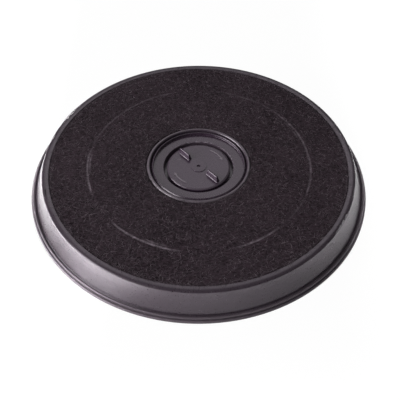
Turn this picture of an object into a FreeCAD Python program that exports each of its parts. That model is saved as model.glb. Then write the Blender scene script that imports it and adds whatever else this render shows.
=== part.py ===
import FreeCAD, Part
import math
import os

# Round charcoal filter cartridge of a cooker hood, standing on the flange that faces the motor.
# +Z is the cartridge's axis and points out of the felt face, and z = 0 is the underside of the rim.
# Radii are called _radius, heights above the underside are called _level, and all lengths are in mm.

# Moulding
wall = 1.8
fit_gap = 0.2
running_gap = 0.3

# Rim: two flanges, one on the other
rim_radius = 117.5
cover_flange_thickness = 1.6
cover_flange_edge = 0.6
housing_flange_step = 1.4
housing_flange_thickness = 1.6
bead_radius = 0.85
bead_facets = 4
flange_reach = 3.7

# Outer wall and its shoulder
lip_level = 19.45
lip_width = 2.4
shoulder_crown = 4.0
shoulder_crown_turn = 30.0
shoulder_corner = 0.8
wall_lean = 20.9
wall_foot_chamfer = 0.4

# Felt mats and the charcoal between them
felt_thickness = 2.0
felt_below_lip = 0.3
weld_ring_share = 0.611
weld_ring_width = 1.6
weld_ring_depth = 0.6

# Grid that carries the face felt
grid_thickness = 1.6
grid_ring_width = 3.0
grid_inner_ring_share = 0.305
spoke_count = 12
spoke_width = 2.4
felt_seat_width = 4.0
partition_count = 6
partition_thickness = 1.4

# Bottom cover
cover_plate_level = 0.8
cover_rib_depth = 1.8
cover_rib_width = 2.2
cover_rib_shares = [0.29, 0.65]
cover_spoke_count = 24
cover_border = 15.5
cover_hub_border = 2.0
cover_tongue_height = 2.6
cover_tongue_thickness = 1.3

# Bayonet socket behind the knob, which is sized by the motor's boss
socket_bore = 26.0
socket_wall = 2.0
socket_mouth_level = 3.2
slot_width = 5.0
slot_lip = 2.0
slot_height = 2.4
slot_ramp = 0.6
stop_width = 3.0
stop_height = 1.5

# Lock knob, round the socket
knob_overhang = 7.0
knob_face_drop = 3.1
knob_face_thickness = 1.8
knob_skirt_thickness = 1.6
knob_edge_width = 1.2
knob_edge_drop = 0.5
knob_turn = 90.0
fin_bearing = 132.0
fin_height = 4.4
fin_inner_radius = 8.8
fin_margin = 1.0
fin_crest_thickness = 1.3
fin_foot_thickness = 2.2
fin_foot_fillet = 0.6
fin_end_slope = 1.1
boss_radius = 5.2
boss_height = 0.45
dimple_radius = 1.3
dimple_depth = 0.9
arrow_inset = 4.4
arrow_width = 0.9
arrow_height = 0.35
arrow_sweep = 34.0
arrow_head_sweep = 9.0
arrow_head_width = 2.6
arrow_bearing = 62.0

# Hub seat, the dished insert that the knob turns in
knob_gap = 2.1
seat_face_drop = 2.8
seat_face_width = 7.4
seat_face_edge = 0.4
seat_rim_drop = 0.75
seat_rim_width = 1.7
seat_rim_crest = 0.3
seat_rim_slope_height = 1.1
seat_well_depth = 5.05
seat_floor_thickness = 1.8

# Hub tube in the middle of the housing, round the hub seat
hub_wall = 2.6
hub_lip_facets = 8
hub_ledge_width = 2.0
hub_ledge_thickness = 2.0

# Retaining ring under the hub seat
ring_fit = 0.05
ring_width = 3.6
ring_thickness = 1.5

# Levels that follow from the sizes above
rim_joint_level = cover_flange_thickness
bead_level = rim_joint_level + housing_flange_thickness
felt_level = lip_level - felt_below_lip
grid_level = felt_level - felt_thickness
bed_top_level = grid_level - grid_thickness
cover_rib_level = cover_plate_level + cover_rib_depth
bed_level = cover_rib_level + felt_thickness
seat_rim_level = lip_level - seat_rim_drop
seat_face_level = lip_level - seat_face_drop
seat_floor_level = seat_face_level - seat_well_depth
seat_floor_underside = seat_floor_level - seat_floor_thickness
knob_face_level = lip_level - knob_face_drop
knob_skirt_level = seat_floor_level + running_gap
slot_level = socket_mouth_level + slot_lip

# Radii that follow, from the socket outwards
socket_radius = socket_bore / 2
spindle_radius = socket_radius + socket_wall
stop_radius = spindle_radius + stop_height
knob_radius = spindle_radius + knob_overhang
fin_outer_radius = knob_radius - knob_edge_width - fin_margin
arrow_radius = knob_radius - arrow_inset
seat_well_radius = knob_radius + knob_gap
seat_rim_inner_radius = seat_well_radius + seat_face_width
seat_outer_radius = seat_rim_inner_radius + seat_rim_width
hub_bore_radius = seat_outer_radius + fit_gap
hub_radius = hub_bore_radius + hub_wall
hub_ledge_radius = hub_bore_radius - hub_ledge_width
cover_seat_radius = rim_radius - cover_border


def ring(inner, outer, low, high):
    """A flat ring or, with an inner radius of nought, a disc, between two levels."""
    base = FreeCAD.Vector(0, 0, low)
    body = Part.makeCylinder(outer, high - low, base)
    if inner > 0:
        body = body.cut(Part.makeCylinder(inner, high - low, base))
    return body


def turned(edges):
    """The solid swept by a closed outline of edges in the XZ plane, turned about Z."""
    outline = Part.Wire(Part.__sortEdges__(edges))
    return Part.Face(outline).revolve(FreeCAD.Vector(0, 0, 0), FreeCAD.Vector(0, 0, 1), 360)


def point(radius, level):
    """A point of a turned outline."""
    return FreeCAD.Vector(radius, 0, level)


def path(*points):
    """Straight edges from point to point."""
    return [Part.LineSegment(a, b).toShape() for a, b in zip(points, points[1:])]


def leaning(degrees):
    """The direction that leans outwards from +Z by some degrees."""
    lean = math.radians(degrees)
    return FreeCAD.Vector(math.sin(lean), 0, math.cos(lean))


def bend(centre, radius, start_turn, end_turn):
    """An arc of an outline, whose normal leans from one turn to the other."""
    turns = (start_turn, (start_turn + end_turn) / 2, end_turn)
    return Part.Arc(*[centre + leaning(turn) * radius for turn in turns]).toShape()


def start_of(edge):
    """The first point of an edge."""
    return edge.valueAt(edge.FirstParameter)


def facets(centre, radius, count):
    """The points of a half-round crest, from its inner foot over the top to its outer foot."""
    turns = [-90 + 180 * step / count for step in range(count + 1)]
    return [centre + leaning(turn) * radius for turn in turns]


def spun(shape, degrees):
    """A copy of a shape, turned about Z."""
    copy = shape.copy()
    copy.rotate(FreeCAD.Vector(0, 0, 0), FreeCAD.Vector(0, 0, 1), degrees)
    return copy


def patterned(shape, count, first=0.0):
    """Copies of a shape, evenly spaced about Z."""
    return [spun(shape, first + 360.0 * step / count) for step in range(count)]


def joined(first, others):
    """One clean solid from pieces that meet."""
    return first.multiFuse(others).removeSplitter()


def bar(inner, outer, width, low, high):
    """A straight rib along +X, centred on the axis, between two radii and two levels."""
    corner = FreeCAD.Vector(inner, -width / 2, low)
    return Part.makeBox(outer - inner, width, high - low, corner)


# Shoulder: up the leaning wall from its foot, round a tight corner and over a low crown
wall_turn = 90 - wall_lean
wall_slope = math.tan(math.radians(wall_lean))
crown_rise = shoulder_crown * (1 - leaning(shoulder_crown_turn).z)
corner_rise = shoulder_corner * (leaning(shoulder_crown_turn).z - leaning(wall_turn).z)
wall_top_level = lip_level - crown_rise - corner_rise
wall_foot_radius = rim_radius - flange_reach
wall_top = point(wall_foot_radius - (wall_top_level - bead_level) * wall_slope, wall_top_level)
corner_centre = wall_top - leaning(wall_turn) * shoulder_corner
corner = bend(corner_centre, shoulder_corner, shoulder_crown_turn, wall_turn)
crown_centre = start_of(corner) - leaning(shoulder_crown_turn) * shoulder_crown
crown = bend(crown_centre, shoulder_crown, 0, shoulder_crown_turn)
lip_inner_radius = crown_centre.x - lip_width
felt_seat_radius = lip_inner_radius - felt_seat_width
weld_ring_radius = hub_radius + (lip_inner_radius - hub_radius) * weld_ring_share
grid_inner_ring_radius = hub_radius + (lip_inner_radius - hub_radius) * grid_inner_ring_share


def wall_radius(level, depth=0.0):
    """Radius of the leaning wall at a level, or of a face that lies depth inside it."""
    outside = wall_top.x + (wall_top.z - level) * wall_slope
    return outside - depth / math.cos(math.radians(wall_lean))


def wall_core(depth, low, high):
    """The cone within the leaning wall, depth inside its outer face, between two levels."""
    base = FreeCAD.Vector(0, 0, low)
    return Part.makeCone(wall_radius(low, depth), wall_radius(high, depth), high - low, base)


def grille(rings, spokes, low, high):
    """Rings given as (middle radius, width) and spokes as (inner, outer, width, count), as a list."""
    pieces = [ring(middle - width / 2, middle + width / 2, low, high) for middle, width in rings]
    for inner, outer, width, count in spokes:
        pieces += patterned(bar(inner, outer, width, low, high), count)
    return pieces


def make_shell():
    """Outer moulding of the housing: beaded flange, leaning wall, shoulder and felt seat."""
    bead_centre = point(rim_radius - housing_flange_step - bead_radius, bead_level)
    bead = facets(bead_centre, bead_radius, bead_facets)
    inner_top = point(wall_radius(bed_top_level, wall), bed_top_level)
    inner_foot = point(wall_radius(rim_joint_level, wall), rim_joint_level)
    foot = [
        point(wall_radius(bead_level + wall_foot_chamfer), bead_level + wall_foot_chamfer),
        point(wall_foot_radius + wall_foot_chamfer, bead_level),
    ]
    underside = [
        point(bead[-1].x, rim_joint_level),
        inner_foot,
        inner_top,
        point(felt_seat_radius, bed_top_level),
        point(felt_seat_radius, grid_level),
        point(lip_inner_radius, grid_level),
        point(lip_inner_radius, lip_level),
    ]
    outline = path(wall_top, *foot, *bead, *underside, start_of(crown))
    return turned([crown, corner] + outline)


def make_hub_tube():
    """Tube in the middle of the housing: half-round lip, and the ledge under the hub seat."""
    half = hub_wall / 2
    lip = facets(point(hub_bore_radius + half, lip_level - half), half, hub_lip_facets)
    foot = point(hub_radius, cover_rib_level)
    inside = [
        point(hub_bore_radius, cover_rib_level),
        point(hub_bore_radius, seat_floor_level - hub_ledge_thickness),
        point(hub_ledge_radius, seat_floor_level - hub_ledge_thickness),
        point(hub_ledge_radius, seat_floor_level),
        point(hub_bore_radius, seat_floor_level),
    ]
    return turned(path(foot, *inside, *lip, foot))


def make_housing():
    """Housing in one moulding: shell, hub tube, the felt's grid and the bed's partitions."""
    hub_middle = hub_radius - hub_wall / 2
    seat_middle = felt_seat_radius + felt_seat_width / 2
    grid_rings = [(grid_inner_ring_radius, grid_ring_width), (weld_ring_radius, grid_ring_width)]
    grid_spokes = [(hub_middle, seat_middle, spoke_width, spoke_count)]
    grid = grille(grid_rings, grid_spokes, bed_top_level, grid_level)
    reach = wall_radius(bed_top_level)
    partition = bar(hub_middle, reach, partition_thickness, bed_level, bed_top_level)
    partition = partition.common(wall_core(wall / 2, bed_level, bed_top_level))
    return joined(make_shell(), [make_hub_tube()] + grid + patterned(partition, partition_count))


def make_felt(inner, outer, low, high):
    """A felt mat cut as a flat ring."""
    return ring(inner, outer, low, high)


def make_face_felt():
    """Felt of the open face, with the ring that is pressed into it over the grid's rib."""
    felt = make_felt(hub_radius + fit_gap, lip_inner_radius - fit_gap, grid_level, felt_level)
    half = weld_ring_width / 2
    bottom = felt_level - weld_ring_depth
    corners = [
        point(weld_ring_radius - half, felt_level),
        point(weld_ring_radius - half / 2, bottom),
        point(weld_ring_radius + half / 2, bottom),
        point(weld_ring_radius + half, felt_level),
    ]
    return felt.cut(turned(path(*corners, corners[0])))


def make_bed():
    """Charcoal granules, which fill the sectors between the hub tube, wall and partitions."""
    bed = wall_core(wall + fit_gap, bed_level, bed_top_level)
    bed = bed.cut(Part.makeCylinder(hub_radius + fit_gap, lip_level))
    gap = partition_thickness + 2 * fit_gap
    cutter = bar(0, rim_radius, gap, bed_level, bed_top_level)
    return bed.cut(Part.makeCompound(patterned(cutter, partition_count)))


def make_bottom_cover():
    """Moulded cover on the motor side: flange, tongue and a recessed grille."""
    tongue_outer = wall_radius(rim_joint_level + cover_tongue_height, wall) - fit_gap
    tongue_inner = tongue_outer - cover_tongue_thickness
    corners = [
        point(cover_seat_radius, 0),
        point(rim_radius, 0),
        point(rim_radius, rim_joint_level - cover_flange_edge),
        point(rim_radius - cover_flange_edge, rim_joint_level),
        point(tongue_outer, rim_joint_level),
        point(tongue_outer, rim_joint_level + cover_tongue_height),
        point(tongue_inner, rim_joint_level + cover_tongue_height),
        point(tongue_inner, cover_rib_level),
        point(cover_seat_radius, cover_rib_level),
    ]
    border = turned(path(*corners, corners[0]))

    low = cover_plate_level
    high = cover_rib_level
    hub_border_radius = hub_radius + cover_hub_border
    hub_border = ring(hub_ledge_radius, hub_border_radius, low, high)
    zone = cover_seat_radius - hub_border_radius
    ribs = [(hub_border_radius + zone * share, cover_rib_width) for share in cover_rib_shares]
    split = ribs[0][0]
    spokes = [
        (hub_radius, split, cover_rib_width, cover_spoke_count // 2),
        (split, cover_seat_radius + wall, cover_rib_width, cover_spoke_count),
    ]
    return joined(border, [hub_border] + grille(ribs, spokes, low, high))


def make_hub_seat():
    """Dished insert: bevelled rim, flat face round the knob, deep well and its bearing floor."""
    edge = seat_face_edge
    bearing = spindle_radius + running_gap
    well_outer = seat_well_radius + wall
    corners = [
        point(seat_rim_inner_radius, seat_face_level),
        point(seat_rim_inner_radius, seat_rim_level),
        point(seat_rim_inner_radius + seat_rim_crest, seat_rim_level),
        point(seat_outer_radius, seat_rim_level - seat_rim_slope_height),
        point(seat_outer_radius, seat_floor_level),
        point(seat_outer_radius - wall, seat_floor_level),
        point(seat_outer_radius - wall, seat_face_level - wall),
        point(well_outer, seat_face_level - wall),
        point(well_outer, seat_floor_underside),
        point(bearing, seat_floor_underside),
        point(bearing, seat_floor_level),
        point(seat_well_radius, seat_floor_level),
        point(seat_well_radius, seat_face_level - edge),
        point(seat_well_radius + edge, seat_face_level),
    ]
    seat = turned(path(*corners, corners[0]))
    return seat.cut(Part.makeCompound(stop_recesses()))


def sector(inner, outer, low, high, start, sweep):
    """A part of a ring, from a bearing through a sweep of degrees."""
    base = FreeCAD.Vector(0, 0, low)
    up = FreeCAD.Vector(0, 0, 1)
    body = Part.makeCylinder(outer, high - low, base, up, sweep)
    core = Part.makeCylinder(inner, high - low, base, up, 360)
    return spun(body.cut(core), start)


def stop_half_sweep(extra=0.0):
    """Half the angle that a stop takes, with a gap added at its side."""
    return math.degrees((stop_width / 2 + extra) / stop_radius)


def stop_recesses():
    """Two arcs cut in the bearing floor, which let the knob turn clockwise by its quarter turn."""
    half = stop_half_sweep(running_gap)
    arc = sector(
        spindle_radius,
        stop_radius + running_gap,
        seat_floor_underside,
        seat_floor_level,
        fin_bearing - knob_turn - half,
        knob_turn + 2 * half,
    )
    return patterned(arc, 2)


def make_fin():
    """One grip fin along +X: filleted foot, drafted sides, rounded crest and sloping ends."""
    foot = fin_foot_thickness / 2
    crest = fin_crest_thickness / 2
    flare = foot + fin_foot_fillet
    low = knob_face_level
    top = low + fin_height
    shoulder = top - crest

    def at(side, level):
        return FreeCAD.Vector(0, side, level)

    section = []
    for side in (1, -1):
        middle = at(side * (flare - 0.7 * fin_foot_fillet), low + 0.3 * fin_foot_fillet)
        curve = Part.Arc(at(side * flare, low), middle, at(side * foot, low + fin_foot_fillet))
        section.append(curve.toShape())
        section += path(at(side * foot, low + fin_foot_fillet), at(side * crest, shoulder))
    section.append(Part.Arc(at(crest, shoulder), at(0, top), at(-crest, shoulder)).toShape())
    section += path(at(flare, low), at(-flare, low))
    profile = Part.Face(Part.Wire(Part.__sortEdges__(section)))
    profile.translate(FreeCAD.Vector(fin_inner_radius, 0, 0))
    fin = profile.extrude(FreeCAD.Vector(fin_outer_radius - fin_inner_radius, 0, 0))
    ends = [
        FreeCAD.Vector(fin_inner_radius, -flare, low),
        FreeCAD.Vector(fin_outer_radius, -flare, low),
        FreeCAD.Vector(fin_outer_radius - fin_end_slope, -flare, top),
        FreeCAD.Vector(fin_inner_radius + fin_end_slope, -flare, top),
    ]
    side_view = Part.Face(Part.makePolygon(ends + ends[:1]))
    return fin.common(side_view.extrude(FreeCAD.Vector(0, 2 * flare, 0)))


def make_arrow():
    """A raised curved arrow on the knob's face, which points clockwise."""
    low = knob_face_level
    high = low + arrow_height
    inner = arrow_radius - arrow_width / 2
    shaft = sector(inner, inner + arrow_width, low, high, arrow_bearing - arrow_sweep, arrow_sweep)
    root = math.radians(arrow_bearing - arrow_sweep)
    tip = root - math.radians(arrow_head_sweep)
    half = arrow_head_width / 2

    def at(radius, angle):
        return FreeCAD.Vector(radius * math.cos(angle), radius * math.sin(angle), low)

    corners = [at(arrow_radius - half, root), at(arrow_radius, tip), at(arrow_radius + half, root)]
    outline = Part.makePolygon(corners + corners[:1])
    head = Part.Face(outline).extrude(FreeCAD.Vector(0, 0, arrow_height))
    return shaft.fuse(head)


def make_knob():
    """Lock knob: face with two fins and arrows, skirt, and the bayonet socket behind it."""
    blind_level = knob_face_level - knob_face_thickness
    edge_inner = knob_radius - knob_edge_width
    corners = [
        point(0, knob_face_level),
        point(edge_inner, knob_face_level),
        point(knob_radius, knob_face_level - knob_edge_drop),
        point(knob_radius, knob_skirt_level),
        point(knob_radius - knob_skirt_thickness, knob_skirt_level),
        point(knob_radius - knob_skirt_thickness, blind_level),
        point(spindle_radius, blind_level),
        point(spindle_radius, socket_mouth_level),
        point(socket_radius, socket_mouth_level),
        point(socket_radius, blind_level),
        point(0, blind_level),
    ]
    body = turned(path(*corners, corners[0]))

    boss_level = knob_face_level + boss_height
    boss = ring(0, boss_radius, knob_face_level, boss_level)
    fins = patterned(make_fin(), 2, fin_bearing)
    arrows = patterned(make_arrow(), 2)
    stop = sector(
        spindle_radius - socket_wall / 2,
        stop_radius,
        seat_floor_underside,
        knob_skirt_level,
        fin_bearing - stop_half_sweep(),
        2 * stop_half_sweep(),
    )
    body = joined(body, [boss] + fins + arrows + patterned(stop, 2))

    dimple = ring(0, dimple_radius, boss_level - dimple_depth, boss_level)
    entry_sweep = 2 * math.degrees(slot_width / 2 / spindle_radius)
    slot_inner = socket_radius - wall
    slot_outer = spindle_radius + wall
    slot_top = slot_level + slot_height
    entry = sector(
        slot_inner, slot_outer, 0, slot_top, fin_bearing - entry_sweep / 2, entry_sweep
    )
    track = sector(
        slot_inner,
        slot_outer,
        slot_level,
        slot_top,
        fin_bearing - entry_sweep / 2,
        knob_turn + entry_sweep,
    )
    detent_sweep = entry_sweep / 3
    detent = sector(
        slot_inner,
        slot_outer,
        slot_level,
        slot_level + slot_ramp,
        fin_bearing + knob_turn - entry_sweep / 2 - detent_sweep,
        detent_sweep,
    )
    slots = patterned(entry.fuse(track).cut(detent), 2)
    return body.cut(Part.makeCompound(slots + [dimple]))


def make_retaining_ring():
    """Push-on ring under the bearing floor, which keeps the knob in the hub seat."""
    high = seat_floor_underside - running_gap
    inner = spindle_radius + ring_fit
    return ring(inner, inner + ring_width, high - ring_thickness, high)


bottom_felt_outer = wall_radius(cover_rib_level + cover_tongue_height, wall) - fit_gap
bottom_felt_outer -= cover_tongue_thickness + fit_gap
parts = {
    "housing": make_housing(),
    "face_felt": make_face_felt(),
    "carbon_bed": make_bed(),
    "motor_side_felt": make_felt(
        hub_radius + fit_gap, bottom_felt_outer, cover_rib_level, bed_level
    ),
    "bottom_cover": make_bottom_cover(),
    "hub_seat": make_hub_seat(),
    "lock_knob": make_knob(),
    "retaining_ring": make_retaining_ring(),
}

os.makedirs("parts", exist_ok=True)
for node, shape in parts.items():
    shape.exportStep("parts/" + node + ".step")
    print(node, "valid" if shape.isValid() else "broken", len(shape.Solids), round(shape.Volume, 1))
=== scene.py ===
import math
import random

import bpy
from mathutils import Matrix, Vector, noise


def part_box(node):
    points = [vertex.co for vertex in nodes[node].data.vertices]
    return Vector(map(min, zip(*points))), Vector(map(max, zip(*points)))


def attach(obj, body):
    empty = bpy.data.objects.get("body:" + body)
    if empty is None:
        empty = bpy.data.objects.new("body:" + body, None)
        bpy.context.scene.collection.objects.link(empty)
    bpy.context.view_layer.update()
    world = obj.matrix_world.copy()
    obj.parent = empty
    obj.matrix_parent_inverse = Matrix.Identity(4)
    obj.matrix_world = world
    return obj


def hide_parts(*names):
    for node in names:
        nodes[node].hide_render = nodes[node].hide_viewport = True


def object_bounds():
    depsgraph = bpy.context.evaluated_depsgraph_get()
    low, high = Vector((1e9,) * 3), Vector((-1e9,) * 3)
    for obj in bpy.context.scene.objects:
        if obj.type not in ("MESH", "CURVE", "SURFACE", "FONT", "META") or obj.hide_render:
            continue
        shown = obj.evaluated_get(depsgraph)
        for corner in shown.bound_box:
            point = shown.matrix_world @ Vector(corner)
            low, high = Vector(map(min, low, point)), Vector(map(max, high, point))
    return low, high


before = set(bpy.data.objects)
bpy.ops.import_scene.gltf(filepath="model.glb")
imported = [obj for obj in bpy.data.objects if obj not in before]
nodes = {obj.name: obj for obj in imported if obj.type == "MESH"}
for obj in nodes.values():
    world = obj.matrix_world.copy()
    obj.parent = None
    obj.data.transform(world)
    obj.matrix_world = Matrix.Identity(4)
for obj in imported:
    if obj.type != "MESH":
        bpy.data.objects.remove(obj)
cad_low, cad_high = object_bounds()
scene = bpy.context.scene


# Housing: one injection moulding of near-black polypropylene, with the beaded flange, the leaning
# wall, the lip round the felt, the grid under the felt and the hub tube. The tool leaves it satin.
# Lighter bands on its lip, its flange and its hub lip are painted highlight, with some scuffing where
# filters lie stacked and fingers push the felt in.
def shader(name):
    """A material with a Principled shader and its output; gives it, its tree and the shader."""
    material = bpy.data.materials.new(name)
    material.use_nodes = True
    tree = material.node_tree
    tree.nodes.clear()
    principled = tree.nodes.new("ShaderNodeBsdfPrincipled")
    output = tree.nodes.new("ShaderNodeOutputMaterial")
    tree.links.new(principled.outputs["BSDF"], output.inputs["Surface"])
    return material, tree, principled


def new_group(name, inputs, outputs):
    """A shader group with float inputs, outputs as (name, kind), its start and its end."""
    group = bpy.data.node_groups.new(name, "ShaderNodeTree")
    for label in inputs:
        group.interface.new_socket(name=label, in_out="INPUT", socket_type="NodeSocketFloat")
    for label, kind in outputs:
        group.interface.new_socket(name=label, in_out="OUTPUT", socket_type="NodeSocket" + kind)
    return group, group.nodes.new("NodeGroupInput"), group.nodes.new("NodeGroupOutput")


def place_group(tree, group, **values):
    """A shader group placed in a tree, with its named inputs set."""
    placed = tree.nodes.new("ShaderNodeGroup")
    placed.node_tree = group
    for name, value in values.items():
        placed.inputs[name.replace("_", " ").title()].default_value = value
    return placed


def feed(tree, socket, value):
    """Sets a socket's number or colour, or links it to another node's output."""
    if isinstance(value, (int, float)):
        socket.default_value = value
    elif isinstance(value, tuple):
        socket.default_value = (*value, 1)
    else:
        tree.links.new(value, socket)


def noise_node(tree, source, scale, detail):
    """Noise with so many features a metre, read at a vector output."""
    texture = tree.nodes.new("ShaderNodeTexNoise")
    feed(tree, texture.inputs["Scale"], scale)
    texture.inputs["Detail"].default_value = detail
    tree.links.new(source, texture.inputs["Vector"])
    return texture


def maths(tree, operation, first, second=0):
    """A Math node on one or two outputs or numbers; gives its output."""
    node = tree.nodes.new("ShaderNodeMath")
    node.operation = operation
    feed(tree, node.inputs[0], first)
    feed(tree, node.inputs[1], second)
    return node.outputs["Value"]


def between(tree, value, low, high, to_low=0.0, to_high=1.0):
    """A value mapped from low..high to another range and held inside it."""
    node = tree.nodes.new("ShaderNodeMapRange")
    node.inputs["From Min"].default_value = low
    node.inputs["From Max"].default_value = high
    node.inputs["To Min"].default_value = to_low
    node.inputs["To Max"].default_value = to_high
    tree.links.new(value, node.inputs["Value"])
    return node.outputs["Result"]


def mixed(tree, share, first, second):
    """Two colours or colour outputs mixed by a share; gives the mixed colour."""
    node = tree.nodes.new("ShaderNodeMix")
    node.data_type = "RGBA"
    tree.links.new(share, node.inputs["Factor"])
    feed(tree, node.inputs["A"], first)
    feed(tree, node.inputs["B"], second)
    return node.outputs["Result"]


def moulded_skin():
    """Flow marks, gloss grain, dust specks with short lint, and a fine grain for the normal."""
    outputs = (("Tone", "Float"), ("Gloss", "Float"), ("Dust", "Float"), ("Normal", "Vector"))
    group, start, end = new_group("moulded_skin", ("Grain Size", "Grain Depth"), outputs)
    place = group.nodes.new("ShaderNodeTexCoord").outputs["Object"]
    flow_scale = 45
    flow = noise_node(group, place, flow_scale, 4)
    grain = noise_node(group, place, start.outputs["Grain Size"], 3)
    specks_a_metre = 420
    specks = group.nodes.new("ShaderNodeTexVoronoi")
    specks.inputs["Scale"].default_value = specks_a_metre
    group.links.new(place, specks.inputs["Vector"])
    speck = between(group, specks.outputs["Distance"], 0.05, 0.11, 1, 0)
    dusty_scale = 30
    dusty = noise_node(group, place, dusty_scale, 2).outputs["Fac"]
    lying = between(group, dusty, 0.50, 0.68)
    lint_heading = (0.4, 0.2, 0.9)
    lint_stretch = (1, 9, 9)
    lint_scale = 160
    long_way = group.nodes.new("ShaderNodeMapping")
    long_way.inputs["Rotation"].default_value = lint_heading
    long_way.inputs["Scale"].default_value = lint_stretch
    group.links.new(place, long_way.inputs["Vector"])
    threads = noise_node(group, long_way.outputs["Vector"], lint_scale, 1)
    lint = between(group, threads.outputs["Fac"], 0.76, 0.82)
    dust = maths(group, "MAXIMUM", maths(group, "MULTIPLY", speck, lying), lint)
    grain_height = 0.0001
    bump = group.nodes.new("ShaderNodeBump")
    bump.inputs["Distance"].default_value = grain_height
    group.links.new(start.outputs["Grain Depth"], bump.inputs["Strength"])
    group.links.new(grain.outputs["Fac"], bump.inputs["Height"])
    group.links.new(flow.outputs["Fac"], end.inputs["Tone"])
    group.links.new(grain.outputs["Fac"], end.inputs["Gloss"])
    group.links.new(dust, end.inputs["Dust"])
    group.links.new(bump.outputs["Normal"], end.inputs["Normal"])
    return group


def scuff_and_highlight_ring():
    """A lighter band round the axis, partly rub marks and partly painted highlight: full near the radius,
    none a half width off, and uneven.
    """
    group, start, end = new_group("scuff_and_highlight_ring", ("Radius", "Half Width"), (("Mask", "Float"),))
    place = group.nodes.new("ShaderNodeTexCoord").outputs["Object"]
    flat = group.nodes.new("ShaderNodeVectorMath")
    flat.operation = "MULTIPLY"
    flat.inputs[1].default_value = (1, 1, 0)
    group.links.new(place, flat.inputs[0])
    length = group.nodes.new("ShaderNodeVectorMath")
    length.operation = "LENGTH"
    group.links.new(flat.outputs["Vector"], length.inputs[0])
    off = maths(group, "SUBTRACT", length.outputs["Value"], start.outputs["Radius"])
    share = maths(group, "DIVIDE", maths(group, "ABSOLUTE", off), start.outputs["Half Width"])
    band = between(group, share, 0.55, 1.0, 1, 0)
    uneven_band_scale = 230
    uneven_band = noise_node(group, place, uneven_band_scale, 4).outputs["Fac"]
    rubbed_and_lit = between(group, uneven_band, 0.25, 0.65, 0.55, 1)
    group.links.new(maths(group, "MULTIPLY", band, rubbed_and_lit), end.inputs["Mask"])
    return group


skin = moulded_skin()
scuff_and_highlight_bands = scuff_and_highlight_ring()
dust_colour = (0.17, 0.15, 0.165)
# Lighter colour of the bands round the axis: scuffing, and a painted highlight on the housing's edges.
scuff_and_highlight_colour = (0.100, 0.082, 0.097)
sheen_tint = (1.0, 0.92, 1.0)
gloss_spread = 0.06


def plastic(name, dark, light, gloss, rings=()):
    """Moulded plastic between two tones; rings are lighter, rougher bands of scuff and painted highlight,
    as (radius, half width, share).
    """
    material, tree, principled = shader(name)
    surface = place_group(tree, skin, grain_size=1400, grain_depth=0.3)
    colour = mixed(tree, surface.outputs["Tone"], dark, light)
    rough = between(tree, surface.outputs["Gloss"], 0, 1, gloss - gloss_spread, gloss + gloss_spread)
    for radius, half_width, share in rings:
        ring = place_group(tree, scuff_and_highlight_bands, radius=radius, half_width=half_width)
        rubbed_and_lit = maths(tree, "MULTIPLY", ring.outputs["Mask"], share)
        # Each band is painted lighter: partly scuffing and partly painted highlight.
        colour = mixed(tree, rubbed_and_lit, colour, scuff_and_highlight_colour)
        rough = maths(tree, "ADD", rough, maths(tree, "MULTIPLY", rubbed_and_lit, gloss_spread))
    colour = mixed(tree, surface.outputs["Dust"], colour, dust_colour)
    tree.links.new(colour, principled.inputs["Base Color"])
    tree.links.new(rough, principled.inputs["Roughness"])
    tree.links.new(surface.outputs["Normal"], principled.inputs["Normal"])
    principled.inputs["Specular IOR Level"].default_value = 0.75
    feed(tree, principled.inputs["Specular Tint"], sheen_tint)
    return material


def dress(obj, material):
    """Gives an object one material."""
    obj.data.materials.clear()
    obj.data.materials.append(material)


same_place = 0.000002
sharp_angle = 24


def soften(obj, width):
    """Rounds the sharp edges of a CAD node by a tool's edge radius, for the light to catch."""
    weld = obj.modifiers.new("weld", "WELD")
    weld.merge_threshold = same_place
    bevel = obj.modifiers.new("edge_radius", "BEVEL")
    bevel.width = width
    bevel.segments = 2
    bevel.limit_method = "ANGLE"
    bevel.angle_limit = math.radians(sharp_angle)
    bevel.harden_normals = True


# Bands painted lighter on the lip, the flange's bead and the hub lip: painted highlights, partly scuffs.
lip_scuff_and_highlight = (0.1040, 0.0012, 0.35)
flange_scuff_and_highlight = (0.1152, 0.0012, 0.50)
hub_scuff_and_highlight = (0.0351, 0.0012, 0.90)
housing_rings = (lip_scuff_and_highlight, flange_scuff_and_highlight, hub_scuff_and_highlight)
housing_dark = (0.018, 0.0115, 0.0175)
housing_light = (0.030, 0.0200, 0.029)
housing_gloss = 0.29
housing_edge = 0.00025
housing_plastic = plastic("housing_plastic", housing_dark, housing_light, housing_gloss, housing_rings)
dress(nodes["housing"], housing_plastic)
soften(nodes["housing"], housing_edge)


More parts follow.
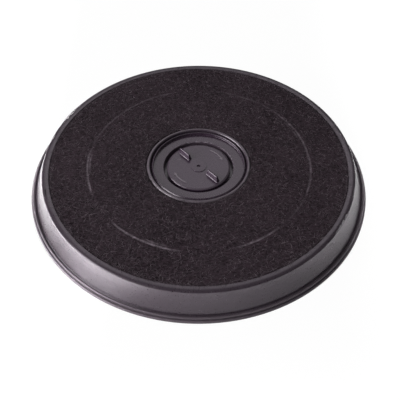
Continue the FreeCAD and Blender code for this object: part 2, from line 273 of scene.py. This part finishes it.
# Face felt: a needled polyester mat, cut as a ring, laid on the grid inside the lip and welded to
# the grid along one pressed ring. The weld is crooked, fades in places and is doubled in others.
# Its line is painted lighter than the felt, partly as fused felt and partly as a painted highlight.
def needled_mat():
    """Threads lying three ways, tufts and slow patches, as a tone and a height."""
    outputs = (("Tone", "Float"), ("Height", "Float"))
    group, start, end = new_group("needled_mat", ("Thread Size", "Tuft Size"), outputs)
    place = group.nodes.new("ShaderNodeTexCoord").outputs["Object"]
    thread_share, tuft_share, patch_share = 0.45, 0.40, 0.15
    thread_stretch = (1, 7, 1)
    laid = None
    for turn in (0.3, 1.4, 2.5):
        way = group.nodes.new("ShaderNodeMapping")
        way.inputs["Rotation"].default_value = (0, 0, turn)
        way.inputs["Scale"].default_value = thread_stretch
        group.links.new(place, way.inputs["Vector"])
        thread = noise_node(group, way.outputs["Vector"], start.outputs["Thread Size"], 2)
        output = thread.outputs["Fac"]
        laid = output if laid is None else maths(group, "MAXIMUM", laid, output)
    threads = between(group, laid, 0.52, 0.74, 0, thread_share)
    tufts = noise_node(group, place, start.outputs["Tuft Size"], 3).outputs["Fac"]
    tuft = between(group, tufts, 0.36, 0.68, 0, tuft_share)
    patch_scale = 28
    patches = noise_node(group, place, patch_scale, 3).outputs["Fac"]
    patch = between(group, patches, 0.32, 0.68, 0, patch_share)
    fine = maths(group, "ADD", threads, tuft)
    tone = maths(group, "ADD", fine, patch)
    group.links.new(tone, end.inputs["Tone"])
    group.links.new(fine, end.inputs["Height"])
    return group


mat = needled_mat()
hair_height = 0.0004


def felt_material(name, dark, light, fused_and_lit):
    """Matt felt between two tones; where the attribute fused_and_lit is 1, the fibres are melted flat,
    glossier and painted lighter, partly as a painted highlight.
    """
    material, tree, principled = shader(name)
    surface = place_group(tree, mat, thread_size=260, tuft_size=700)
    weld = tree.nodes.new("ShaderNodeAttribute")
    weld.attribute_name = "fused_and_lit"
    hairy = between(tree, surface.outputs["Tone"], 0.2, 0.6, 0.55, 1)
    melted_and_lit = maths(tree, "MULTIPLY", weld.outputs["Fac"], hairy)
    loose = mixed(tree, surface.outputs["Tone"], dark, light)
    tree.links.new(mixed(tree, melted_and_lit, loose, fused_and_lit), principled.inputs["Base Color"])
    tree.links.new(between(tree, melted_and_lit, 0, 1, 0.92, 0.5), principled.inputs["Roughness"])
    principled.inputs["Specular IOR Level"].default_value = 0.1
    bump = tree.nodes.new("ShaderNodeBump")
    bump.inputs["Distance"].default_value = hair_height
    bump.inputs["Strength"].default_value = 0.8
    tree.links.new(surface.outputs["Height"], bump.inputs["Height"])
    tree.links.new(bump.outputs["Normal"], principled.inputs["Normal"])
    return material


def mesh_piece(name, verts, faces, body):
    """A smooth mesh object that rides a body."""
    mesh = bpy.data.meshes.new(name)
    mesh.from_pydata(verts, [], faces)
    mesh.update()
    mesh.shade_smooth()
    obj = bpy.data.objects.new(name, mesh)
    scene.collection.objects.link(obj)
    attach(obj, body)
    return obj


def felt_ring(name, radii, face, back, segments, soft, surface):
    """A felt ring whose face runs through the radii; surface gives its (lift, fused and lit share) at a
    place.
    """
    inner, outer = radii[0], radii[-1]
    out = 1 if face > back else -1
    verts = []
    faces = []
    fused_and_lit = []
    for turn in range(segments):
        angle = 2 * math.pi * turn / segments
        across = Vector((math.cos(angle), math.sin(angle), 0))
        start = len(verts)
        for radius in radii:
            edge = min(radius - inner, outer - radius, soft) / soft
            drop = soft * (1 - math.sqrt(1 - (1 - edge) ** 2))
            lift, melted_and_lit = surface(radius, angle)
            verts.append(across * radius + Vector((0, 0, face + out * (edge * lift - drop))))
            fused_and_lit.append(melted_and_lit)
        for radius in (outer, inner):
            verts.append(across * radius + Vector((0, 0, back)))
            fused_and_lit.append(0)
        size = len(verts) - start
        after = start + size if turn < segments - 1 else 0
        for step in range(size):
            following = (step + 1) % size
            quad = (start + step, after + step, after + following, start + following)
            faces.append(quad if out < 0 else quad[::-1])
    piece = mesh_piece(name, verts, faces, "cartridge")
    weld = piece.data.attributes.new("fused_and_lit", "FLOAT", "POINT")
    weld.data.foreach_set("value", fused_and_lit)
    return piece


def inner_radius(node):
    """Radius of a CAD node's bore, from its mesh."""
    return min(math.hypot(v.co.x, v.co.y) for v in nodes[node].data.vertices)


weld_radius = 0.0770
weld_half_width = 0.0010
weld_depth = 0.0005
doubled_inset = 0.0017
doubled_half_width = 0.6 * weld_half_width
fade_degrees = 7
# Stretches as (from, to, firmness): the firmness also sets how light the line is painted there, partly a
# painted highlight.
weld_stretches = (
    (-24, 46, 0.55), (40, 84, 0.24), (102, 168, 0.30), (168, 204, 0.80), (222, 262, 1.00),
    (286, 314, 0.62), (316, 338, 0.22),
)
doubled_stretches = ((170, 188, 0.7), (240, 256, 0.6), (16, 34, 0.35))


def pressed_share(stretches, degrees):
    """How firmly the welding ring pressed at a bearing; stretches are (from, to, firmness)."""
    share = 0
    for first, last, firm in stretches:
        for way in (degrees, degrees - 360):
            inside = min(way - first, last - way)
            share = max(share, firm * min(1, max(0, inside / fade_degrees)))
    return share


def around(angle, times, seed):
    """Noise along a circle, so many features round it."""
    return noise.noise(Vector((math.cos(angle) * times, math.sin(angle) * times, seed)))


# How the pressed ring runs, at every tenth of a degree: off its circle by so much, and how firmly
# its line and the second line beside it were pressed, which also sets how light they are painted, partly
# as a painted highlight.
tenths = 3600
slow_lean = 0.00045
quick_lean = 0.00018
weld_lines = []
for tenth in range(tenths):
    angle = math.radians(tenth / 10)
    ragged = 0.75 + 0.5 * around(angle, 22, 3.1) + 0.5 * around(angle, 90, 5.3)
    firm = pressed_share(weld_stretches, tenth / 10) * ragged
    second = pressed_share(doubled_stretches, tenth / 10) * ragged
    lean = slow_lean * around(angle, 3, 0.4) + quick_lean * around(angle, 14, 7.7)
    weld_lines.append((lean, firm, second))

swell_height = 0.00013
swells_a_metre = 60
tuft_height = 0.00006
tufts_a_metre = 800
faint_press = 0.35


def face_surface(radius, angle):
    """Lift of the face felt's top and how far it is fused and painted light: a swell, tufts and the
    pressed ring.
    """
    spot = Vector((radius * math.cos(angle), radius * math.sin(angle), 0))
    swell = swell_height * noise.noise(spot * swells_a_metre)
    tuft = tuft_height * noise.noise(spot * tufts_a_metre)
    lean, firm, second = weld_lines[int(math.degrees(angle) * 10 + 0.5) % tenths]
    off = (radius - weld_radius - lean) / weld_half_width
    line = max(0, 1 - off ** 2)
    off_second = (radius - weld_radius - lean + doubled_inset) / doubled_half_width
    line_second = max(0, 1 - off_second ** 2)
    pressed = max(faint_press * line, line * firm, line_second * second)
    return swell + tuft - weld_depth * pressed, max(line * firm, line_second * second)


face_low, face_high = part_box("face_felt")
face_inner = inner_radius("face_felt")
face_outer = face_high.x
face_segments = 560
face_steps = 88
face_step = (face_outer - face_inner) / face_steps
face_edge = 0.00035
weld_rows = 16
weld_row = 0.00035
weld_first = weld_radius - 2 * weld_half_width
face_radii = [face_inner + face_step * step for step in range(face_steps + 1)]
face_radii += [weld_first + weld_row * row for row in range(weld_rows)]
face_radii = sorted(face_radii)
felt_dark = (0.0045, 0.0026, 0.0037)
felt_light = (0.064, 0.043, 0.055)
# The weld line's colour: fused felt, painted lighter as a painted highlight.
fused_felt_and_highlight = (0.250, 0.207, 0.240)
felt = felt_material("felt", felt_dark, felt_light, fused_felt_and_highlight)
face_felt = felt_ring(
    "face_felt_mat", face_radii, face_high.z, face_low.z, face_segments, face_edge, face_surface
)
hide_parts("face_felt")
dress(face_felt, felt)


# Loose fibres: single polyester fibres that the needling left standing out of the mat. They lie
# about on it in arcs, a few millimetres long, and some lie over the lip and the hub's edge.
def fibre_material(name, dark, light):
    """Fibres between two tones, each with its own."""
    material, tree, principled = shader(name)
    place = tree.nodes.new("ShaderNodeTexCoord").outputs["Object"]
    own = tree.nodes.new("ShaderNodeNewGeometry").outputs["Random Per Island"]
    along_scale = 500
    along = noise_node(tree, place, along_scale, 2).outputs["Fac"]
    shade = between(tree, along, 0.3, 0.7, 0.5, 1)
    tone = maths(tree, "MULTIPLY", maths(tree, "POWER", own, 3.5), shade)
    tree.links.new(mixed(tree, tone, dark, light), principled.inputs["Base Color"])
    tree.links.new(between(tree, along, 0, 1, 0.45, 0.65), principled.inputs["Roughness"])
    principled.inputs["Specular IOR Level"].default_value = 0.25
    return material


fibre_lengths = (0.0012, 0.0042)
fibre_widths = (0.00007, 0.00013)
fibre_bends = (-1.1, 1.1)
fibre_rises = (0.00005, 0.00030)
middle_share = 0.5
tip_share = 0.2


def loose_fibres(name, count, seed, inner, outer, level, out=1):
    """Thin curved strips laid on a felt between two radii, arching out of it."""
    pick = random.Random(seed)
    verts = []
    faces = []
    for _ in range(count):
        radius = math.sqrt(pick.uniform(inner ** 2, outer ** 2))
        angle = pick.uniform(0, 2 * math.pi)
        heading = pick.uniform(0, 2 * math.pi)
        length = pick.uniform(*fibre_lengths)
        width = pick.uniform(*fibre_widths)
        bend = pick.uniform(*fibre_bends)
        rise = pick.uniform(*fibre_rises)
        spot = Vector((radius * math.cos(angle), radius * math.sin(angle), level))
        start = len(verts)
        for step in range(4):
            share = step / 3
            way = heading + bend * (share - 0.5)
            half = middle_share if step % 3 else tip_share
            side = Vector((-math.sin(way), math.cos(way), 0)) * width * half
            lift = Vector((0, 0, out * 4 * rise * share * (1 - share)))
            verts += [spot + lift - side, spot + lift + side]
            spot = spot + Vector((math.cos(way), math.sin(way), 0)) * length / 3
        for step in range(3):
            near = start + 2 * step
            faces.append((near, near + 1, near + 3, near + 2))
    return mesh_piece(name, verts, faces, "cartridge")


fibre_dark = (0.014, 0.010, 0.013)
fibre_light = (0.26, 0.205, 0.24)
fibre_skin = fibre_material("felt_fibres", fibre_dark, fibre_light)
fibre_lift = 0.00003
edge_lift = 0.00030
edge_overhang = 0.0002
rim_band = 0.0020
hub_band = 0.0016
face_fibres = loose_fibres(
    "face_felt_fibres", count=26000, seed=11, inner=face_inner, outer=face_outer,
    level=face_high.z + fibre_lift,
)
rim_fibres = loose_fibres(
    "rim_fibres", count=2600, seed=12, inner=face_outer - rim_band, outer=face_outer + edge_overhang,
    level=face_high.z + edge_lift,
)
hub_fibres = loose_fibres(
    "hub_fibres", count=500, seed=13, inner=face_inner - edge_overhang, outer=face_inner + hub_band,
    level=face_high.z + edge_lift,
)
for fibres in (face_fibres, rim_fibres, hub_fibres):
    dress(fibres, fibre_skin)


# Charcoal: loose granules of activated carbon, two or three millimetres across, poured into the
# six chambers between the two felts. They are dull black, and some shine a little.
def granules():
    """Broken grains packed together, as a tone darker towards each grain's edge as painted shade, a
    roughness and a height.
    """
    outputs = (("Tone", "Float"), ("Rough", "Float"), ("Height", "Float"))
    group, start, end = new_group("granules", ("Grain Size",), outputs)
    place = group.nodes.new("ShaderNodeTexCoord").outputs["Object"]
    grains = group.nodes.new("ShaderNodeTexVoronoi")
    group.links.new(place, grains.inputs["Vector"])
    group.links.new(start.outputs["Grain Size"], grains.inputs["Scale"])
    height = between(group, grains.outputs["Distance"], 0, 0.7, 1, 0)
    own = group.nodes.new("ShaderNodeSeparateColor")
    group.links.new(grains.outputs["Color"], own.inputs["Color"])
    # Tone falls to dark at the grains' edges: painted shade in the gaps between them.
    group.links.new(maths(group, "MULTIPLY", height, own.outputs["Red"]), end.inputs["Tone"])
    group.links.new(between(group, own.outputs["Green"], 0, 1, 0.35, 0.8), end.inputs["Rough"])
    group.links.new(height, end.inputs["Height"])
    return group


charcoal, tree, principled = shader("charcoal_granules")
charcoal_dark_and_gap_shade = (0.008, 0.008, 0.008)
charcoal_light = (0.045, 0.043, 0.044)
granule_height = 0.0015
grains = place_group(tree, granules(), grain_size=420)
colour = mixed(tree, grains.outputs["Tone"], charcoal_dark_and_gap_shade, charcoal_light)
tree.links.new(colour, principled.inputs["Base Color"])
tree.links.new(grains.outputs["Rough"], principled.inputs["Roughness"])
bump = tree.nodes.new("ShaderNodeBump")
bump.inputs["Distance"].default_value = granule_height
tree.links.new(grains.outputs["Height"], bump.inputs["Height"])
tree.links.new(bump.outputs["Normal"], principled.inputs["Normal"])
dress(nodes["carbon_bed"], charcoal)


# Motor-side felt: the same needled mat, under the charcoal. It is cut as a flat ring and lies on the
# ribs of the bottom cover, which keeps it in.
back_tuft_height = 0.00005


def back_surface(radius, angle):
    """Lift of the mat's underside, which has tufts alone and is fused nowhere."""
    spot = Vector((radius * math.cos(angle), radius * math.sin(angle), 0))
    return back_tuft_height * noise.noise(spot * tufts_a_metre), 0


back_low, back_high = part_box("motor_side_felt")
back_inner = inner_radius("motor_side_felt")
back_outer = back_high.x
back_segments = 360
back_steps = 90
back_step = (back_outer - back_inner) / back_steps
back_edge = 0.0003
back_radii = [back_inner + back_step * step for step in range(back_steps + 1)]
back_felt = felt_ring(
    "motor_side_mat", back_radii, back_low.z, back_high.z, back_segments, back_edge, back_surface
)
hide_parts("motor_side_felt")
dress(back_felt, felt)
back_fibres = loose_fibres(
    "motor_side_fibres", count=7000, seed=21, inner=back_inner, outer=back_outer,
    level=back_low.z - fibre_lift, out=-1,
)
dress(back_fibres, fibre_skin)


# Bottom cover: the motor-side moulding of the same plastic, with the rings and spokes that keep the
# mat in. Its tongue stands inside the housing's wall, and its flange is welded to the housing's.
cover_rings = ((0.1170, 0.0012, 0.80),)
cover_gloss = 0.40
cover_plastic = plastic("cover_plastic", housing_dark, housing_light, cover_gloss, cover_rings)
dress(nodes["bottom_cover"], cover_plastic)
soften(nodes["bottom_cover"], housing_edge)


# Hub seat: the dished insert that is pressed into the hub tube from above. Its tool is polished
# finer than the housing's, and the rim round its face gets a lighter band.
seat_rings = ((0.0243, 0.0004, 0.50),)
seat_dark = (0.019, 0.0105, 0.019)
seat_light = (0.031, 0.018, 0.031)
seat_gloss = 0.27
seat_edge = 0.0003
hub_plastic = plastic("hub_plastic", seat_dark, seat_light, seat_gloss, seat_rings)
dress(nodes["hub_seat"], hub_plastic)
soften(nodes["hub_seat"], seat_edge)


# Lock knob: one moulding with its disc, skirt, spindle and two grip fins, turned a quarter by the
# fins to lock the cartridge on the motor's boss. Its edge gets a lighter band, and the tops of its arrows
# a painted highlight.
knob_dark = (0.021, 0.011, 0.022)
knob_light = (0.033, 0.019, 0.034)
knob_rings = ((0.0213, 0.0006, 0.50),)
knob_gloss = 0.27
knob_edge = 0.0002
arrow_top = 0.01670
arrow_band = 0.00004
arrow_highlight_colour = (0.12, 0.10, 0.118)
knob_plastic = plastic("knob_plastic", knob_dark, knob_light, knob_gloss, knob_rings)
tree = knob_plastic.node_tree
knob_colour = tree.nodes["Principled BSDF"].inputs["Base Color"]
moulded = knob_colour.links[0].from_socket
place = tree.nodes.new("ShaderNodeSeparateXYZ")
tree.links.new(tree.nodes.new("ShaderNodeTexCoord").outputs["Object"], place.inputs["Vector"])
# The tops of the arrows are painted lighter: a painted highlight.
off_top = maths(tree, "ABSOLUTE", maths(tree, "SUBTRACT", place.outputs["Z"], arrow_top))
arrow_highlight_share = between(tree, off_top, 0.6 * arrow_band, arrow_band, 0.9, 0)
tree.links.new(mixed(tree, arrow_highlight_share, moulded, arrow_highlight_colour), knob_colour)
dress(nodes["lock_knob"], knob_plastic)
soften(nodes["lock_knob"], knob_edge)


# Retaining ring: a plain ring of greyer plastic, pushed on the knob's spindle from below, under the
# seat's floor, so that the knob can't be pulled out.
ring_dark = (0.050, 0.046, 0.050)
ring_light = (0.068, 0.063, 0.068)
ring_gloss = 0.5
ring_edge = 0.0002
ring_plastic = plastic("ring_plastic", ring_dark, ring_light, ring_gloss)
dress(nodes["retaining_ring"], ring_plastic)
soften(nodes["retaining_ring"], ring_edge)


# Camera: in front and above, where the photograph's circles put it, with a short telephoto lens.
# It looks at a place just in front of the cartridge's axis.
camera_place = Vector((0, -0.3685, 0.3978))
camera_aim = Vector((0.0009, -0.0166, 0))
film_width = 36
focal_length = 68.6
camera_data = bpy.data.cameras.new("camera")
camera_data.sensor_width = film_width
camera_data.lens = focal_length
camera = bpy.data.objects.new("camera", camera_data)
camera.location = camera_place
camera.rotation_mode = "QUATERNION"
camera.rotation_quaternion = (camera_aim - camera_place).to_track_quat("-Z", "Y")
scene.collection.objects.link(camera)
scene.camera = camera
scene.view_settings.view_transform = "Standard"


# Floor: a plain white sheet of paper that keeps the cartridge's shadow. It is clear from below, and
# to the light of the lamp down there, so that the motor side can be looked at as well.
floor_reach = 4.0
floor_gap = 0.00005
paper_dark = (0.85, 0.85, 0.85)
paper_light = (0.88, 0.88, 0.88)
paper_grain = 400
seen_white = 0.96
mirrored_white = 0.2
floor_mesh = bpy.data.meshes.new("floor")
corners = [(-floor_reach, -floor_reach, 0), (floor_reach, -floor_reach, 0)]
corners += [(floor_reach, floor_reach, 0), (-floor_reach, floor_reach, 0)]
floor_mesh.from_pydata(corners, [], [(0, 1, 2, 3)])
floor = bpy.data.objects.new("floor", floor_mesh)
floor.location.z = cad_low.z - floor_gap
scene.collection.objects.link(floor)
floor_material, tree, principled = shader("floor")
place = tree.nodes.new("ShaderNodeTexCoord").outputs["Object"]
paper = noise_node(tree, place, paper_grain, 2).outputs["Fac"]
tree.links.new(mixed(tree, paper, paper_dark, paper_light), principled.inputs["Base Color"])
principled.inputs["Roughness"].default_value = 0.9
principled.inputs["Specular IOR Level"].default_value = 0.1
white = tree.nodes.new("ShaderNodeEmission")
white.inputs["Strength"].default_value = 1.0
rays = tree.nodes.new("ShaderNodeLightPath")
mirrored = maths(tree, "MULTIPLY", rays.outputs["Is Glossy Ray"], mirrored_white)
direct = maths(tree, "MAXIMUM", rays.outputs["Is Camera Ray"], mirrored)
seen = tree.nodes.new("ShaderNodeMixShader")
tree.links.new(maths(tree, "MULTIPLY", direct, seen_white), seen.inputs["Fac"])
tree.links.new(principled.outputs["BSDF"], seen.inputs[1])
tree.links.new(white.outputs["Emission"], seen.inputs[2])
clear = tree.nodes.new("ShaderNodeBsdfTransparent")
from_below = tree.nodes.new("ShaderNodeMixShader")
underneath = tree.nodes.new("ShaderNodeNewGeometry").outputs["Backfacing"]
unseen = maths(tree, "MAXIMUM", underneath, rays.outputs["Is Shadow Ray"])
tree.links.new(unseen, from_below.inputs["Fac"])
tree.links.new(seen.outputs["Shader"], from_below.inputs[1])
tree.links.new(clear.outputs["BSDF"], from_below.inputs[2])
tree.links.new(from_below.outputs["Shader"], tree.nodes["Material Output"].inputs["Surface"])
floor.data.materials.append(floor_material)


# Light: a soft lamp behind and above, which the flat plastic mirrors, a high and a low one at the
# left for the felt, fins and rim, one below for the motor side, and narrow ones close over the
# floor, whose pools of light the leaning wall mirrors. The world around is a weak white.
def lamp(name, place, width, height, power, aim=(0, 0, 0), spread=180):
    """A soft rectangular lamp that faces a place, with its light held within a spread in degrees."""
    data = bpy.data.lights.new(name, "AREA")
    data.shape = "RECTANGLE"
    data.size = width
    data.size_y = height
    data.energy = power
    data.spread = math.radians(spread)
    obj = bpy.data.objects.new(name, data)
    obj.visible_camera = False
    obj.location = place
    obj.rotation_mode = "QUATERNION"
    obj.rotation_quaternion = (Vector(aim) - Vector(place)).to_track_quat("-Z", "Y")
    scene.collection.objects.link(obj)


def floor_pool(name, place, width, depth, power, spread):
    """A lamp that looks straight down and lights a patch of the floor."""
    lamp(name, place, width, depth, power, aim=(place[0], place[1], 0), spread=spread)


lamp("back_softbox", (0, 1.5, 1.7), width=2.0, height=0.8, power=5.6)
lamp("left_softbox", (-0.95, -0.25, 0.95), width=0.8, height=0.5, power=9)
lamp("left_strip", (-1.12, -0.26, 0.26), width=1.2, height=0.48, power=24)
floor_pool("left_floor_pool", (-0.215, -0.02, 0.12), width=0.16, depth=0.56, power=3.7, spread=32)
floor_pool("front_left_floor_pool", (-0.165, -0.175, 0.12), width=0.16, depth=0.17, power=0.72, spread=32)
floor_pool("front_floor_pool", (0.08, -0.33, 0.16), width=0.60, depth=0.30, power=1.1, spread=45)
floor_pool("right_floor_pool", (0.31, 0.10, 0.16), width=0.34, depth=0.80, power=2.8, spread=45)
lamp("under_softbox", (0.2, 0.4, -1.2), width=1.2, height=1.2, power=12)

world_light = 0.2
world = bpy.data.worlds.new("world")
scene.world = world
world.use_nodes = True
tree = world.node_tree
lit = tree.nodes["Background"]
lit.inputs["Color"].default_value = (1, 1, 1, 1)
rays = tree.nodes.new("ShaderNodeLightPath")
strength = between(tree, rays.outputs["Is Camera Ray"], 0, 1, world_light, 1.0)
tree.links.new(strength, lit.inputs["Strength"])
